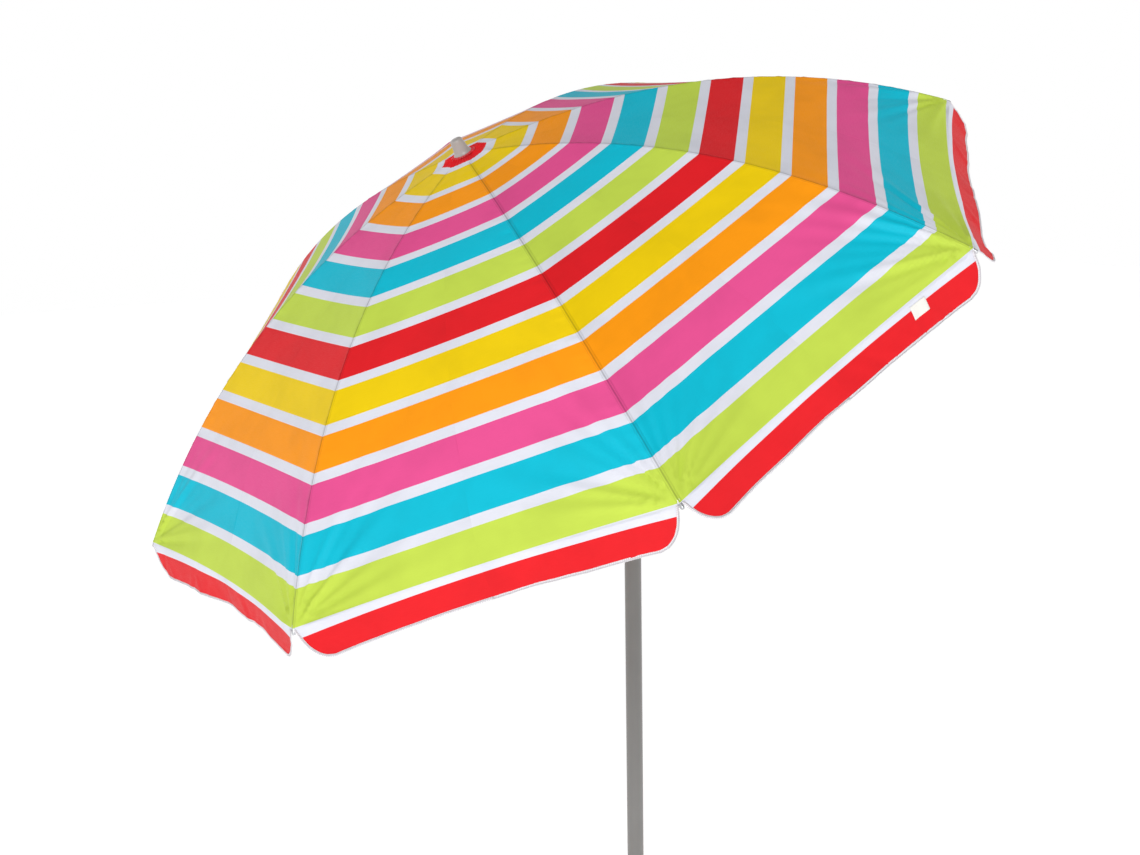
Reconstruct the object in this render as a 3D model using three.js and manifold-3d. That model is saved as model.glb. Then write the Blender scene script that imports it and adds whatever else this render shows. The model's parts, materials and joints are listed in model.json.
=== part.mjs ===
// Beach umbrella: eight curved ribs, striped canopy with valance, tilting and telescoping mast.
// Millimetres, +Z up. Origin: centre of the mast's lower end. The canopy leans towards -X.
import * as THREE from 'three';
import { mergeVertices } from 'three/addons/utils/BufferGeometryUtils.js';
import Module from 'manifold-3d';

const wasm = await Module();
wasm.setup();

// Driving dimensions
const ribCount = 8;
const tipRadius = 820;          // rib tip to canopy axis, along the fabric's hem
const leanAngle = 30;           // canopy axis from the mast, degrees
const jointHeight = 1150;       // tilt joint above the mast's lower end
const apexHeight = 691;         // top of the fabric above the tilt joint, along the canopy axis
// Fall of the canopy, in powers of the radius, as shares of tipRadius
const domeTerms = [0.0555, 0.2448, 0.121];
const gap = 0.3;                // between pieces that touch
const fabric = 1.4;             // canopy cloth, with its seams
const valanceDepth = 58;
const valanceBend = 25;         // degrees below the canopy's own slope at the hem
const ribRadius = 2.25;
const ribClear = 0.4;           // rib to the underside of the fabric
const hingeRadius = 24;         // rib and stretcher eyes from the canopy axis
const crownHinge = 684.2;       // height of the rib eyes above the tilt joint
const stretcherReach = 284;     // rib eye to stretcher pin, along the rib
const stretcherLength = 316;    // pin to pin
const pinBelow = 3.2;           // stretcher pin under the rib's centre line
const upperRadius = 14;         // upper tube and sliding tube, outside
const lowerRadius = 16;         // lower tube, outside
const wall = 1.2;
const spikeHeight = 45;
const collarTop = 1042;
const collarBottom = 1000;

const degrees = Math.PI / 180;
const step = 360 / ribCount;
const halfStep = step / 2;

// Finishes
function finish(color, roughness, metalness = 0) {
  return new THREE.MeshStandardMaterial({ color, roughness, metalness });
}

const cloth = finish(0xf2f2f4, 0.75);
const redCloth = finish(0xd3182a, 0.75);
const greyTube = finish(0x8b8a88, 0.45, 0.2);
const steel = finish(0xb4b6b8, 0.35, 0.9);
const whitePlastic = finish(0xe8e8e6, 0.5);
const greyPlastic = finish(0xb9b9b7, 0.4);
const darkPlastic = finish(0x3a3b3d, 0.5);

// The nested groups: the mast stands upright, and the canopy leans about the tilt joint.
const umbrella = new THREE.Group();
const canopy = new THREE.Group();
canopy.position.set(0, 0, jointHeight);
canopy.rotation.y = -leanAngle * degrees;
umbrella.add(canopy);

function place(parent, name, geometry, material, position = [0, 0, 0], turn = 0) {
  const mesh = new THREE.Mesh(geometry, material);
  mesh.name = name;
  mesh.position.set(...position);
  mesh.rotation.z = turn * degrees;
  parent.add(mesh);
  return mesh;
}

// Booleans: a closed geometry becomes a solid, and a solid becomes a geometry again.
function solid(geometry) {
  const bare = geometry.clone();
  bare.deleteAttribute('normal');
  bare.deleteAttribute('uv');
  const merged = mergeVertices(bare, 1e-4);
  const mesh = new wasm.Mesh({
    numProp: 3,
    vertProperties: new Float32Array(merged.attributes.position.array),
    triVerts: new Uint32Array(merged.index.array),
  });
  return new wasm.Manifold(mesh);
}

function geometryOf(body) {
  const mesh = body.getMesh();
  const geometry = new THREE.BufferGeometry();
  geometry.setAttribute('position', new THREE.BufferAttribute(mesh.vertProperties, 3));
  geometry.setIndex(new THREE.BufferAttribute(mesh.triVerts, 1));
  return geometry;
}

// Simple solids, given by where they stand
function turned(profile, segments = 32) {
  const geometry = new THREE.LatheGeometry(profile.map(([r, z]) => new THREE.Vector2(r, z)), segments);
  return geometry.rotateX(Math.PI / 2);
}

function rod(radius, low, high, segments = 32) {
  return turned([[0, low], [radius, low], [radius, high], [0, high]], segments);
}

function pipe(inner, outer, low, high, segments = 32) {
  return turned([[inner, low], [outer, low], [outer, high], [inner, high], [inner, low]], segments);
}

function box(from, to) {
  const size = to.map((v, i) => v - from[i]);
  const middle = to.map((v, i) => (v + from[i]) / 2);
  return new THREE.BoxGeometry(...size).translate(...middle);
}

// A round bar along Y, between two values of y
function crossBar(radius, from, to, x, z, segments = 12) {
  const bar = new THREE.CylinderGeometry(radius, radius, to - from, segments);
  return bar.translate(x, (from + to) / 2, z);
}

// A bar of constant section swept along points of the XZ plane
function swept(section, points) {
  const path = new THREE.CurvePath();
  for (let i = 1; i < points.length; i += 1) {
    path.add(new THREE.LineCurve3(points[i - 1], points[i]));
  }
  const steps = points.length - 1;
  return new THREE.ExtrudeGeometry(section, { steps, bevelEnabled: false, extrudePath: path });
}

// The dome: height of the fabric's outside above the tilt joint at a radius, and its slope downwards.
function domeHeight(radius) {
  const share = radius / tipRadius;
  const fall = domeTerms.reduce((sum, term, i) => sum + term * share ** (i + 1), 0);
  return apexHeight - tipRadius * fall;
}

function domeSlope(radius) {
  const share = radius / tipRadius;
  return Math.atan(domeTerms.reduce((sum, term, i) => sum + (i + 1) * term * share ** i, 0));
}

// A rib's centre line, in its own plane: the dome's line moved inwards by the cloth, the clearance
// and the rib. Below is a further step inwards, for what hangs under the rib.
function ribPoint(radius, below = 0) {
  const slope = domeSlope(radius);
  const inwards = fabric + ribClear + ribRadius + below;
  const height = domeHeight(radius) - inwards * Math.cos(slope);
  return new THREE.Vector3(radius - inwards * Math.sin(slope), 0, height);
}

// The fabric radius at which the rib is a given straight distance from its eye
const halvings = 40;

function radiusAt(distance) {
  let low = hingeRadius;
  let high = tipRadius;
  for (let i = 0; i < halvings; i += 1) {
    const middle = (low + high) / 2;
    const point = ribPoint(middle);
    const reached = Math.hypot(point.x - hingeRadius, point.z - crownHinge);
    if (reached < distance) {
      low = middle;
    } else {
      high = middle;
    }
  }
  return low;
}

const pinPoint = ribPoint(radiusAt(stretcherReach), pinBelow);
const runnerDrop = Math.sqrt(stretcherLength ** 2 - (pinPoint.x - hingeRadius) ** 2);
const runnerHinge = pinPoint.z - runnerDrop;   // height of the stretcher eyes above the tilt joint

// Ribs: a round rod with a flat eye at the crown and a cross pin for the stretcher
const ribSteps = 13;
const eyeRadius = 3.1;
const eyeWidth = 3.6;
const ringWire = 1.0;
const eyeBore = 1.4;
const pinRadius = 1.4;
const pinHalf = 4.8;
const lugRadius = 2.9;
const lugHalf = 2.4;
const rodPastHem = 8;           // bare rod beyond the hem
const rodStart = 1.5;           // from the eye's centre to the start of the rod
const ribSides = 8;

function ribSection() {
  const corners = [];
  for (let i = 0; i < ribSides; i += 1) {
    const angle = (i / ribSides) * Math.PI * 2;
    corners.push(new THREE.Vector2(ribRadius * Math.cos(angle), ribRadius * Math.sin(angle)));
  }
  return new THREE.Shape(corners);
}

function ribGeometry() {
  const start = hingeRadius + rodStart;
  const points = [];
  for (let i = 0; i <= ribSteps; i += 1) {
    points.push(ribPoint(start + (tipRadius - start) * (i / ribSteps)));
  }
  const end = points[ribSteps];
  const slope = domeSlope(tipRadius);
  const ahead = new THREE.Vector3(Math.cos(slope), 0, -Math.sin(slope));
  points.push(end.clone().addScaledVector(ahead, rodPastHem));
  const bar = solid(swept(ribSection(), points));
  const eye = solid(crossBar(eyeRadius, -eyeWidth / 2, eyeWidth / 2, hingeRadius, crownHinge));
  const bore = solid(crossBar(eyeBore, -eyeWidth, eyeWidth, hingeRadius, crownHinge));
  const lug = solid(crossBar(lugRadius, -lugHalf, lugHalf, pinPoint.x, pinPoint.z));
  const pin = solid(crossBar(pinRadius, -pinHalf, pinHalf, pinPoint.x, pinPoint.z));
  return geometryOf(bar.add(eye).subtract(bore).add(lug).add(pin));
}

// Stretchers: a flat bar with an eye in the runner's slot and a fork around the rib
const barHalf = 1.5;            // half its width, along Y
const barHeight = 3;            // half its height
const forkInside = 2.8;
const forkOutside = 3.9;
const forkDepth = 15;
const bridgeLength = 4;
const barRelief = 0.6;          // the bar is lower than its eye by this, above and below

function stretcherGeometry() {
  const turn = -Math.atan2(runnerDrop, pinPoint.x - hingeRadius);
  const forkEnd = stretcherLength - forkDepth;
  const eye = solid(crossBar(barHeight, -barHalf, barHalf, 0, 0));
  const barEdge = barHeight - barRelief;
  const bar = solid(box([0, -barHalf, -barEdge], [forkEnd, barHalf, barEdge]));
  const bridgeStart = forkEnd - bridgeLength;
  const bridge = solid(box([bridgeStart, -forkOutside, -barHeight], [forkEnd, forkOutside, barHeight]));
  let whole = eye.add(bar).add(bridge);
  for (const side of [-1, 1]) {
    const low = Math.min(side * forkInside, side * forkOutside);
    const high = Math.max(side * forkInside, side * forkOutside);
    const cheek = solid(box([bridgeStart, low, -barHeight], [stretcherLength, high, barHeight]));
    const ear = solid(crossBar(barHeight, low, high, stretcherLength, 0));
    whole = whole.add(cheek).add(ear);
  }
  const hole = solid(crossBar(pinRadius + gap, -forkOutside - 1, forkOutside + 1, stretcherLength, 0));
  const geometry = geometryOf(whole.subtract(hole));
  return geometry.rotateY(turn).translate(hingeRadius, 0, runnerHinge);
}

// Tips: a metal cap over the end of each rod, beyond the hem
const capBore = ribRadius + gap;
const capRadius = 3.4;
const capLength = 9;
const capWall = 1.5;            // at its closed end
const capOverlap = 2;           // of the cap's length that is free of the rod's end

function tipGeometry() {
  const inside = capLength - capWall;
  const cap = turned([
    [capBore, 0], [capRadius, 0], [capRadius, inside], [capRadius - capWall, capLength],
    [0, capLength], [0, inside], [capBore, inside], [capBore, 0],
  ], 10);
  const slope = domeSlope(tipRadius);
  const end = ribPoint(tipRadius);
  const start = rodPastHem - capLength + capOverlap;
  cap.rotateY(Math.PI / 2 + slope);
  return cap.translate(end.x + start * Math.cos(slope), 0, end.z - start * Math.sin(slope));
}

// Canopy cloth: half a gore, from a rib's plane to the middle of the gore. Across the gore the cloth
// is straight, so each row is a chord between two ribs. Rows past the hem are the valance.
const clothStart = 22;
const clothRows = 14;
const valanceRows = [0.06, 0.5, 0.9, 1];
const valanceSetback = [6, 9, 14, 30];     // from the rib's plane to the valance's rounded end

// A point on the gore at a radius: at the rib's edge or at the gore's middle, sunk below the outside
function gorePoint(radius, atRib, side, sunk) {
  const middle = halfStep * degrees;
  const slope = Math.atan(Math.tan(domeSlope(radius)) / Math.cos(middle));
  const out = radius * Math.cos(middle) - sunk * Math.sin(slope);
  const across = atRib ? out * Math.tan(middle) - gap : gap;
  return gorePlace(out, across, domeHeight(radius) - sunk * Math.cos(slope), side);
}

// From the gore's middle plane (out, across towards the rib, height) to the rib's frame
function gorePlace(out, across, height, side) {
  const middle = halfStep * degrees;
  const x = out * Math.cos(middle) + across * Math.sin(middle);
  const y = out * Math.sin(middle) - across * Math.cos(middle);
  return [x, side * y, height];
}

function halfGoreGeometry(side) {
  const middle = halfStep * degrees;
  const rows = [];
  for (let i = 0; i <= clothRows; i += 1) {
    const radius = clothStart + (tipRadius - clothStart) * (i / clothRows);
    rows.push([0, fabric].map((sunk) => [
      gorePoint(radius, true, side, sunk),
      gorePoint(radius, false, side, sunk),
    ]));
  }
  const slope = Math.atan(Math.tan(domeSlope(tipRadius)) / Math.cos(middle)) + valanceBend * degrees;
  const half = tipRadius * Math.sin(middle);
  valanceRows.forEach((share, i) => {
    const down = share * valanceDepth;
    rows.push([0, fabric].map((sunk) => {
      const out = tipRadius * Math.cos(middle) + down * Math.cos(slope) - sunk * Math.sin(slope);
      const height = domeHeight(tipRadius) - down * Math.sin(slope) - sunk * Math.cos(slope);
      const end = gorePlace(out, half - valanceSetback[i], height, side);
      return [end, gorePlace(out, gap, height, side)];
    }));
  });
  const vertices = rows.flat(2);
  const corner = (row, layer, column) => row * 4 + layer * 2 + column;
  const faces = [];
  const quad = (a, b, c, d) => {
    faces.push(...(side > 0 ? [a, b, c, a, c, d] : [a, c, b, a, d, c]));
  };
  const last = rows.length - 1;
  for (let i = 0; i < last; i += 1) {
    quad(corner(i, 0, 0), corner(i + 1, 0, 0), corner(i + 1, 0, 1), corner(i, 0, 1));
    quad(corner(i, 1, 1), corner(i + 1, 1, 1), corner(i + 1, 1, 0), corner(i, 1, 0));
    quad(corner(i, 1, 0), corner(i + 1, 1, 0), corner(i + 1, 0, 0), corner(i, 0, 0));
    quad(corner(i, 0, 1), corner(i + 1, 0, 1), corner(i + 1, 1, 1), corner(i, 1, 1));
  }
  quad(corner(0, 0, 1), corner(0, 1, 1), corner(0, 1, 0), corner(0, 0, 0));
  quad(corner(last, 0, 0), corner(last, 1, 0), corner(last, 1, 1), corner(last, 0, 1));
  const geometry = new THREE.BufferGeometry();
  const places = new Float32Array(vertices.flat());
  geometry.setAttribute('position', new THREE.BufferAttribute(places, 3));
  geometry.setIndex(faces);
  return geometry;
}

for (let k = 1; k <= ribCount; k += 1) {
  const azimuth = halfStep + step * (k - 1);
  place(canopy, `rib_${k}`, ribGeometry(), steel, [0, 0, 0], azimuth);
  place(canopy, `stretcher_${k}`, stretcherGeometry(), steel, [0, 0, 0], azimuth);
  place(canopy, `rib_tip_${k}`, tipGeometry(), steel, [0, 0, 0], azimuth);
  place(canopy, `half_gore_${k}_right`, halfGoreGeometry(-1), cloth, [0, 0, 0], azimuth);
  place(canopy, `half_gore_${k}_left`, halfGoreGeometry(1), cloth, [0, 0, 0], azimuth);
}

// Crown: a slotted hub for the ribs, a wire ring through their eyes, the cloth's centre and the finial
const crownRadius = 29;
const crownTop = 687;
const crownBottom = 672;
const slotInside = 20.2;
const crownSlot = 4.6;
const plugRadius = upperRadius - wall - gap;
const studRadius = 3;
const plugBottom = 640;         // end of the plug in the upper tube
const plugShoulder = 665;       // the hub rests on the tube here
const studHole = 655;
const slotBottom = 660;
const beyond = 9;               // how far a cut runs past what it cuts

function slots(inside, outside, width, low, high) {
  const cuts = [];
  for (let k = 0; k < ribCount; k += 1) {
    const cut = box([inside, -width / 2, low], [outside, width / 2, high]);
    cuts.push(solid(cut.rotateZ((halfStep + step * k) * degrees)));
  }
  return cuts.reduce((all, cut) => all.add(cut));
}

function ringGeometry(wire) {
  return new THREE.TorusGeometry(hingeRadius, wire, 6, 48);
}

function crownGeometry() {
  const hub = solid(turned([
    [0, plugBottom], [plugRadius, plugBottom], [plugRadius, plugShoulder], [upperRadius + 3, plugShoulder],
    [crownRadius, crownBottom], [crownRadius, crownTop], [studRadius + gap, crownTop],
    [studRadius + gap, studHole], [0, studHole],
  ]));
  const groove = solid(ringGeometry(ringWire + gap).translate(0, 0, crownHinge));
  const cuts = slots(slotInside, crownRadius + beyond, crownSlot, slotBottom, crownTop + beyond);
  return geometryOf(hub.subtract(cuts).subtract(groove));
}

const finialBase = apexHeight + gap;
const finialHeight = 29.5;
const studBottom = 658;
const finialProfile = [
  [0, 0], [16.5, 0], [16.5, 2], [14.6, 4.2], [13.1, 8.5], [12.1, 15], [11.4, 21.5], [10.7, 26.4],
  [8.8, 28.7], [4.5, finialHeight], [0, finialHeight],
];

function finialGeometry() {
  const bell = solid(turned(finialProfile.map(([r, z]) => [r, z + finialBase])));
  const stud = solid(rod(studRadius, studBottom, finialBase + 1, 16));
  return geometryOf(bell.add(stud));
}

place(canopy, 'crown', crownGeometry(), whitePlastic);
place(canopy, 'crown_ring', ringGeometry(ringWire), steel, [0, 0, crownHinge]);
const patchRadius = clothStart * Math.cos(halfStep * degrees) - 2 * gap;
const patchHole = 6;
const patchTop = 690.3;
place(canopy, 'centre_patch', pipe(patchHole, patchRadius, crownTop + gap, patchTop), redCloth);
place(canopy, 'finial', finialGeometry(), greyPlastic);
const tubeBottom = 26;          // in the upper knuckle's socket
const tubeTop = plugShoulder - gap;
place(canopy, 'upper_tube', pipe(upperRadius - wall, upperRadius, tubeBottom, tubeTop), greyTube);

// Runner: a slotted collar that slides on the upper tube, with a spring latch to hold the canopy open
const runnerBore = upperRadius + 0.5;
const runnerSleeve = 20;
const runnerFlange = 30;
const flangeHalf = 5;
const runnerLength = 42;
const latchWidth = 11;
const latchTravel = 2.5;
const latchLow = -30;
const latchHigh = -16;
const runnerSlot = 4.2;

function runnerGeometry() {
  const body = solid(turned([
    [runnerBore, -runnerLength], [runnerSleeve + 2, -runnerLength],
    [runnerSleeve + 2, -runnerLength + 5], [runnerSleeve, -runnerLength + 8], [runnerSleeve, -10],
    [runnerFlange, -flangeHalf], [runnerFlange, flangeHalf], [runnerSleeve, flangeHalf + 3],
    [runnerBore, flangeHalf + 3], [runnerBore, -runnerLength],
  ]));
  const half = latchWidth / 2 + gap;
  const windowEnd = runnerSleeve + beyond;
  const window = box([runnerBore - 4, -half, latchLow - gap], [windowEnd, half, latchHigh + gap]);
  const cuts = slots(slotInside + 2 * gap, runnerFlange + beyond, runnerSlot, -20, 20);
  return geometryOf(body.subtract(cuts).subtract(solid(window)));
}

function latchGeometry() {
  const inside = upperRadius + latchTravel + 2 * gap;
  return box([inside, -latchWidth / 2, latchLow], [runnerSleeve + 4, latchWidth / 2, latchHigh]);
}

place(canopy, 'runner', runnerGeometry(), whitePlastic, [0, 0, runnerHinge]);
place(canopy, 'runner_latch', latchGeometry(), darkPlastic, [0, 0, runnerHinge]);

// Tilt joint: a tongue on the upper knuckle between two cheeks on the lower one, on a cross pin
const knuckleRadius = 17;
const shoulder = 15.5;          // from the pin to each knuckle's shoulder
const knuckleLength = 60;
const tongueHalf = 5.7;
const cheekInside = 6;
const cheekOutside = 14;
const eyeOutside = 13.5;
const pivotRadius = 3;
const pivotClear = 0.15;
const headHeight = 2.5;         // of the pin's heads, which are wider than it by the same
const socketDepth = 34;

function knuckleBody(direction) {
  const profile = [
    [0, shoulder], [knuckleRadius - 2, shoulder], [knuckleRadius, shoulder + 3],
    [knuckleRadius, knuckleLength - 3], [knuckleRadius - 1, knuckleLength], [0, knuckleLength],
  ];
  const outline = direction > 0 ? profile : profile.map(([r, z]) => [r, -z]).reverse();
  return solid(turned(outline));
}

function socket(direction) {
  const ends = [direction * (knuckleLength - socketDepth), direction * (knuckleLength + 9)];
  return solid(rod(upperRadius + gap, Math.min(...ends), Math.max(...ends)));
}

function pivotHole() {
  return solid(crossBar(pivotRadius + pivotClear, -30, 30, 0, 0, 24));
}

function upperKnuckle() {
  const tongue = solid(crossBar(eyeOutside, -tongueHalf, tongueHalf, 0, 0, 32))
    .add(solid(box([-10, -tongueHalf, 0], [10, tongueHalf, shoulder + 1])));
  return geometryOf(knuckleBody(1).add(tongue).subtract(socket(1)).subtract(pivotHole()));
}

const buttonHeight = -22;
const buttonRadius = 4.2;
const buttonInside = 9;

function lowerKnuckle() {
  let body = knuckleBody(-1);
  for (const side of [-1, 1]) {
    const low = Math.min(side * cheekInside, side * cheekOutside);
    const high = Math.max(side * cheekInside, side * cheekOutside);
    body = body.add(solid(crossBar(eyeOutside, low, high, 0, 0, 32)));
    body = body.add(solid(box([-12, low, -shoulder - 1], [12, high, 0])));
  }
  const bore = solid(crossBar(buttonRadius + gap, 4, 30, 0, buttonHeight, 20));
  return geometryOf(body.subtract(socket(-1)).subtract(pivotHole()).subtract(bore));
}

function pivotPin() {
  const shaft = solid(crossBar(pivotRadius, -cheekOutside - 1, cheekOutside + 1, 0, 0, 24));
  const heads = [-1, 1].map((side) => {
    const ends = [side * (cheekOutside + gap), side * (cheekOutside + headHeight)];
    return solid(crossBar(pivotRadius + headHeight, Math.min(...ends), Math.max(...ends), 0, 0, 24));
  });
  return geometryOf(shaft.add(heads[0]).add(heads[1]));
}

place(canopy, 'tilt_knuckle_upper', upperKnuckle(), greyPlastic);
place(umbrella, 'tilt_knuckle_lower', lowerKnuckle(), greyPlastic, [0, 0, jointHeight]);
place(umbrella, 'tilt_pin', pivotPin(), steel, [0, 0, jointHeight]);
const button = crossBar(buttonRadius, buttonInside, knuckleRadius + 3.5, 0, buttonHeight, 20);
place(umbrella, 'tilt_button', button, darkPlastic, [0, 0, jointHeight]);

// Mast: a sliding tube inside the lower tube, a clamp collar with a wing screw, and a pointed foot
const slideBottom = 640;
const slideTop = jointHeight - knuckleLength + socketDepth - gap;
const collarRadius = 21;
const screwHeight = (collarTop + collarBottom) / 2;
const screwRadius = 4;
const footTip = 5;

place(umbrella, 'sliding_tube', pipe(upperRadius - wall, upperRadius, slideBottom, slideTop), greyTube);

const bushClear = 0.15;

function bushGeometry() {
  const inside = upperRadius + bushClear;
  const bush = solid(pipe(inside, lowerRadius - wall - bushClear, collarTop - 60, collarTop - 12));
  return geometryOf(bush.subtract(solid(screwHole(screwRadius + 1))));
}

function lowerTube() {
  const tube = solid(pipe(lowerRadius - wall, lowerRadius, spikeHeight + gap, collarTop - 8));
  return geometryOf(tube.subtract(solid(screwHole(screwRadius + 1))));
}

// A round bar along X, between two values of x
function alongX(radius, from, to, segments = 16) {
  const bar = new THREE.CylinderGeometry(radius, radius, to - from, segments).rotateZ(Math.PI / 2);
  return bar.translate((from + to) / 2, 0, 0);
}

function screwHole(radius) {
  return alongX(radius, upperRadius - 2, upperRadius + 38).translate(0, 0, screwHeight);
}

function collarGeometry() {
  const ring = solid(turned([
    [lowerRadius + gap, collarBottom], [collarRadius - 1, collarBottom],
    [collarRadius, collarBottom + 1], [collarRadius, collarTop - 2], [collarRadius - 2, collarTop],
    [upperRadius + gap, collarTop], [upperRadius + gap, collarTop - 7],
    [lowerRadius + gap, collarTop - 7], [lowerRadius + gap, collarBottom],
  ]));
  const boss = solid(alongX(8, 18, 30, 24).translate(0, 0, screwHeight));
  const bore = solid(rod(lowerRadius + gap, collarBottom - 9, collarTop - 7));
  return geometryOf(ring.add(boss.subtract(bore)).subtract(solid(screwHole(screwRadius + gap))));
}

function wingScrew() {
  const shaft = solid(alongX(screwRadius, upperRadius + gap, upperRadius + gap + 24));
  const boss = solid(alongX(6.2, 31, 39, 20));
  const outline = new THREE.Shape();
  outline.moveTo(-5, 0);
  outline.bezierCurveTo(-6, 8, -9, 15, -3, 18);
  outline.bezierCurveTo(1, 20, 4, 17, 4, 12);
  outline.lineTo(4, -12);
  outline.bezierCurveTo(4, -17, 1, -20, -3, -18);
  outline.bezierCurveTo(-9, -15, -6, -8, -5, 0);
  const wings = new THREE.ExtrudeGeometry(outline, { depth: 3.6, bevelEnabled: false, curveSegments: 5 });
  wings.rotateX(Math.PI / 2).translate(37, 1.8, 0);
  return geometryOf(shaft.add(boss).add(solid(wings)));
}

place(umbrella, 'lower_tube', lowerTube(), greyTube);
place(umbrella, 'height_collar', collarGeometry(), darkPlastic);
place(umbrella, 'wing_screw', wingScrew(), darkPlastic, [0, 0, screwHeight]);
place(umbrella, 'guide_bush', bushGeometry(), whitePlastic);

const footPlug = lowerRadius - wall - gap;
const foot = turned([
  [0, 0], [footTip, 0], [lowerRadius, 34], [lowerRadius, spikeHeight], [footPlug, spikeHeight],
  [footPlug, spikeHeight + 30], [0, spikeHeight + 30],
]);
place(umbrella, 'ground_spike', foot, darkPlastic);

export default umbrella;
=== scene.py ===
# Beach umbrella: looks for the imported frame. Metres, row frame, +Z up the mast.
import json
import math
import bpy
import numpy as np
from mathutils import Matrix, Vector


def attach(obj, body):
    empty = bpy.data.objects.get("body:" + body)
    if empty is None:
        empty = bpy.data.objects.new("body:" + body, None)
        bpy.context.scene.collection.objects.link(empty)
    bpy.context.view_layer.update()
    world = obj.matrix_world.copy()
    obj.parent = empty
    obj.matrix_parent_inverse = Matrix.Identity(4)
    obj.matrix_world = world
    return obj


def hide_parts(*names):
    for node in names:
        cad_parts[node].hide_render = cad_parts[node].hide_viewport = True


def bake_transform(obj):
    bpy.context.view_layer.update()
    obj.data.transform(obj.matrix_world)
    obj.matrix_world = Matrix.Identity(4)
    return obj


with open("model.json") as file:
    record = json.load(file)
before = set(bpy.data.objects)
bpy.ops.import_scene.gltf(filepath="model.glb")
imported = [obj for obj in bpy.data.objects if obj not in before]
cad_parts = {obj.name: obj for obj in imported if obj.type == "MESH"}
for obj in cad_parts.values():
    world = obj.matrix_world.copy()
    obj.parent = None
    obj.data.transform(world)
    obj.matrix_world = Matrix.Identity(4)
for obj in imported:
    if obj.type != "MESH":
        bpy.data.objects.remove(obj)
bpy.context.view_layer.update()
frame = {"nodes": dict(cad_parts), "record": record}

# sizes shared with the frame
dome = dict(
    ribs=8,
    tipRadius=0.820,
    lean=math.radians(30),
    jointHeight=1.150,
    apex=0.691,
    terms=(0.0555, 0.2448, 0.121),   # fall in powers of the radius, as shares of tipRadius
    hingeHeight=0.6842,              # rib eyes above the tilt joint
)
halfStep = math.pi / dome["ribs"]
joint = np.array([0.0, 0.0, dome["jointHeight"]])


def turnAbout(axis, angle):   # the matrix that turns by an angle about x, y or z
    return np.array(Matrix.Rotation(angle, 3, axis))


leanTurn = turnAbout("Y", -dome["lean"])


def toRow(points, azimuth=0.0):   # from a rib's own frame at an azimuth to the row frame
    return joint + points @ (leanTurn @ turnAbout("Z", azimuth)).T


def domeHeight(radius):   # height over the tilt joint: the apex less a cubic in the radius
    share = radius / dome["tipRadius"]
    return dome["apex"] - dome["tipRadius"] * sum(c * share ** (i + 1) for i, c in enumerate(dome["terms"]))


def domeTan(radius):   # tangent of the downward slope, the derivative of that cubic
    share = radius / dome["tipRadius"]
    return sum((i + 1) * c * share ** i for i, c in enumerate(dome["terms"]))


def alongGore(radius):   # length along the middle of a gore out to a radius, by adding up short steps
    steps = np.linspace(0, 1, 400)[:, None] * np.atleast_1d(radius)[None, :]
    pace = np.sqrt(math.cos(halfStep) ** 2 + domeTan(steps) ** 2)
    return np.trapz(pace, steps, axis=0)


# camera and light
cameraFacts = dict(place=(-1.731, -2.512, 1.806), right=(0.84265, -0.53818, -0.0161),
                   down=(-0.11266, -0.14724, -0.9826), forward=(0.52652, 0.8298, -0.1848), lens=52.0)


def makeCamera():
    data = bpy.data.cameras.new("camera")
    data.lens = cameraFacts["lens"]
    data.sensor_width = 36.0
    data.clip_end = 100.0
    camera = bpy.data.objects.new("camera", data)
    bpy.context.collection.objects.link(camera)
    right, down, forward = (Vector(cameraFacts[k]).normalized() for k in ("right", "down", "forward"))
    turn = Matrix((right, -down, -forward)).transposed()
    camera.matrix_world = Matrix.Translation(cameraFacts["place"]) @ turn.to_4x4()
    bpy.context.scene.camera = camera


studio = dict(
    floor=14.0,           # half its width
    horizon=1.0,          # sky strength up to lowBand, falling to zenith at the top
    zenith=0.26,
    lowBand=0.30,         # sine of the elevation where the fall starts
    topBand=0.65,
    lamps=(               # name, place, target, size, power
        ("keyLamp", (-5.3, -6.9, 6.6), (-0.2, 0.0, 1.4), 2.2, 432),
        ("sideLamp", (4.6, -2.6, 2.6), (0.0, 0.0, 1.3), 2.2, 22),
    ),
)


def makeStudio():
    # the sky is brightest round the horizon, so that faces turned up are a little darker than upright ones
    scene = bpy.context.scene
    scene.view_settings.view_transform = "Standard"
    world = bpy.data.worlds.new("studio")
    world.use_nodes = True
    sky = Nodes(world.node_tree)
    height = sky.parts(sky.add("ShaderNodeTexCoord"))[2]
    level = height.ramp(studio["lowBand"], studio["topBand"], studio["horizon"], studio["zenith"])
    back = sky.tree.nodes["Background"]
    back.inputs["Color"].default_value = (1, 1, 1, 1)
    sky.tree.links.new(level.socket, back.inputs["Strength"])
    scene.world = world
    for name, place, target, size, power in studio["lamps"]:
        data = bpy.data.lights.new(name, "AREA")
        data.size = size
        data.energy = power
        lamp = bpy.data.objects.new(name, data)
        bpy.context.collection.objects.link(lamp)
        aim = (Vector(target) - Vector(place)).to_track_quat("-Z", "Y")
        lamp.matrix_world = Matrix.Translation(place) @ aim.to_matrix().to_4x4()


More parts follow.
